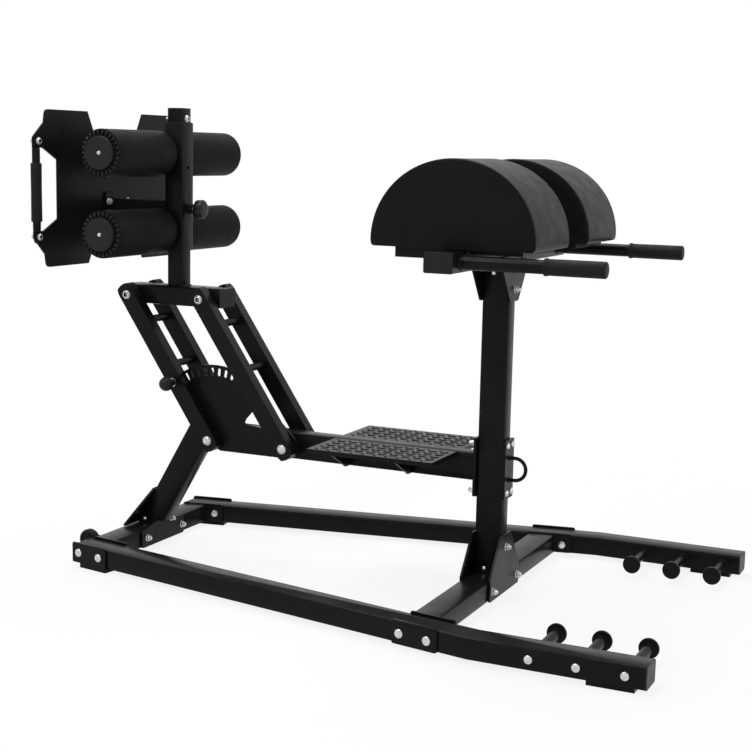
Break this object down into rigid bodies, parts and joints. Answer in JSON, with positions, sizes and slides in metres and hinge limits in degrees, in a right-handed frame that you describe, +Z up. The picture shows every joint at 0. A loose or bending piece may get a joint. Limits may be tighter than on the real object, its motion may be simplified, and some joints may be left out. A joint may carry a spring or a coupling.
{
  "type": "glute ham developer",
  "caption": "Floor-standing glute ham developer with split hip pads, foam ankle rollers and a foot plate on an adjustable parallel linkage.",
  "frame": {"origin": "on the floor, under the middle of the machine's overall box", "axes": "+X from the foot plate towards the pads and the front feet, +Y towards the far side, +Z up"},
  "size_m": [1.8128, 1.102, 1.292],
  "materials": {
    "powder_coat": "satin black powder coat",
    "zinc": "bright zinc plated steel",
    "grey_plastic": "moulded grey plastic",
    "black_plastic": "moulded black plastic",
    "black_foam": "closed-cell foam with a smooth skin and ribbed plastic end caps",
    "black_rubber": "matt black rubber",
    "black_vinyl": "grained black vinyl over foam"
  },
  "bodies": {
    "frame": {"rail_near": "powder_coat", "rail_far": "powder_coat", "foot_crossmember": "powder_coat", "pad_crossmember": "powder_coat", "foot_joint_plate_near": "powder_coat", "foot_joint_plate_far": "powder_coat", "pad_joint_plate_near": "powder_coat", "pad_joint_plate_far": "powder_coat", "main_beam": "powder_coat", "quadrant_plate": "powder_coat", "tread_near": "powder_coat", "tread_far": "powder_coat", "pad_post": "powder_coat", "post_gusset_low_front": "powder_coat", "post_gusset_low_rear": "powder_coat", "post_gusset_high_front": "powder_coat", "post_gusset_high_rear": "powder_coat", "lift_handle": "powder_coat", "pad_tube": "powder_coat", "pad_tray_near": "powder_coat", "pad_tray_far": "powder_coat", "handle_bar_near": "powder_coat", "handle_bar_far": "powder_coat", "band_peg_1_near": "powder_coat", "band_peg_1_far": "powder_coat", "band_peg_2_near": "powder_coat", "band_peg_2_far": "powder_coat", "band_peg_3_near": "powder_coat", "band_peg_3_far": "powder_coat", "pivot_pin_low_rear": "zinc", "pivot_pin_low_front": "zinc", "rail_cap_near": "grey_plastic", "rail_cap_far": "grey_plastic", "pad_tube_cap_near": "black_plastic", "pad_tube_cap_far": "black_plastic", "handle_grip_near": "black_rubber", "handle_grip_far": "black_rubber", "hip_pad_near": "black_vinyl", "hip_pad_far": "black_vinyl"},
    "rear_links": {"rear_link": "powder_coat"},
    "front_links": {"front_link": "powder_coat"},
    "carriage": {"carriage": "powder_coat", "pivot_pin_high_rear": "zinc", "pivot_pin_high_front": "zinc", "roller_post": "powder_coat", "roller_post_cap": "black_plastic"},
    "roller_sleeve": {"roller_sleeve": "powder_coat", "foot_plate": "powder_coat", "foot_handle_near": "powder_coat", "foot_handle_far": "powder_coat", "foot_grip_near": "black_rubber", "foot_grip_far": "black_rubber"},
    "post_pin": {"pop_pin": "black_plastic"},
    "link_plunger": {"link_plunger": "black_plastic"},
    "roller_high_near": {"roller_high_near": "black_foam"},
    "roller_high_far": {"roller_high_far": "black_foam"},
    "roller_low_near": {"roller_low_near": "black_foam"},
    "roller_low_far": {"roller_low_far": "black_foam"},
    "wheel_near": {"wheel_near": "black_rubber"},
    "wheel_far": {"wheel_far": "black_rubber"}
  },
  "joints": [
    {"name": "link_swing", "type": "hinge", "parent": "frame", "child": "rear_links", "pos_m": [-0.51375, 0, 0.3515], "axis": [0, 1, 0], "range_deg": [0, 51.6]},
    {"name": "front_link_swing", "type": "hinge", "parent": "frame", "child": "front_links", "pos_m": [-0.27075, 0, 0.3515], "axis": [0, 1, 0], "range_deg": [0, 51.6]},
    {"name": "carriage_level", "type": "hinge", "parent": "rear_links", "child": "carriage", "pos_m": [-0.78734, 0, 0.75559], "axis": [0, 1, 0], "range_deg": [-51.6, 0]},
    {"name": "sleeve_height", "type": "slide", "parent": "carriage", "child": "roller_sleeve", "axis": [0, 0, 1], "range_m": [-0.075, 0]},
    {"name": "pop_pin_pull", "type": "slide", "parent": "roller_sleeve", "child": "post_pin", "axis": [1, 0, 0], "range_m": [0, 0.012], "stiffness_N_per_m": 900},
    {"name": "plunger_pull", "type": "slide", "parent": "rear_links", "child": "link_plunger", "axis": [0, -1, 0], "range_m": [0, 0.012], "stiffness_N_per_m": 900},
    {"name": "roller_high_near_spin", "type": "hinge", "parent": "roller_sleeve", "child": "roller_high_near", "pos_m": [-0.70875, -0.18, 1.162], "axis": [0, 1, 0], "continuous": true},
    {"name": "roller_high_far_spin", "type": "hinge", "parent": "roller_sleeve", "child": "roller_high_far", "pos_m": [-0.70875, 0.18, 1.162], "axis": [0, 1, 0], "continuous": true},
    {"name": "roller_low_near_spin", "type": "hinge", "parent": "roller_sleeve", "child": "roller_low_near", "pos_m": [-0.70875, -0.18, 0.942], "axis": [0, 1, 0], "continuous": true},
    {"name": "roller_low_far_spin", "type": "hinge", "parent": "roller_sleeve", "child": "roller_low_far", "pos_m": [-0.70875, 0.18, 0.942], "axis": [0, 1, 0], "continuous": true},
    {"name": "wheel_near_spin", "type": "hinge", "parent": "frame", "child": "wheel_near", "pos_m": [-0.83375, -0.212, 0.048], "axis": [0, 1, 0], "continuous": true},
    {"name": "wheel_far_spin", "type": "hinge", "parent": "frame", "child": "wheel_far", "pos_m": [-0.83375, 0.212, 0.048], "axis": [0, 1, 0], "continuous": true}
  ],
  "couplings": [
    {"joint": "front_link_swing", "follows": "link_swing", "ratio": 1},
    {"joint": "carriage_level", "follows": "link_swing", "ratio": -1}
  ]
}
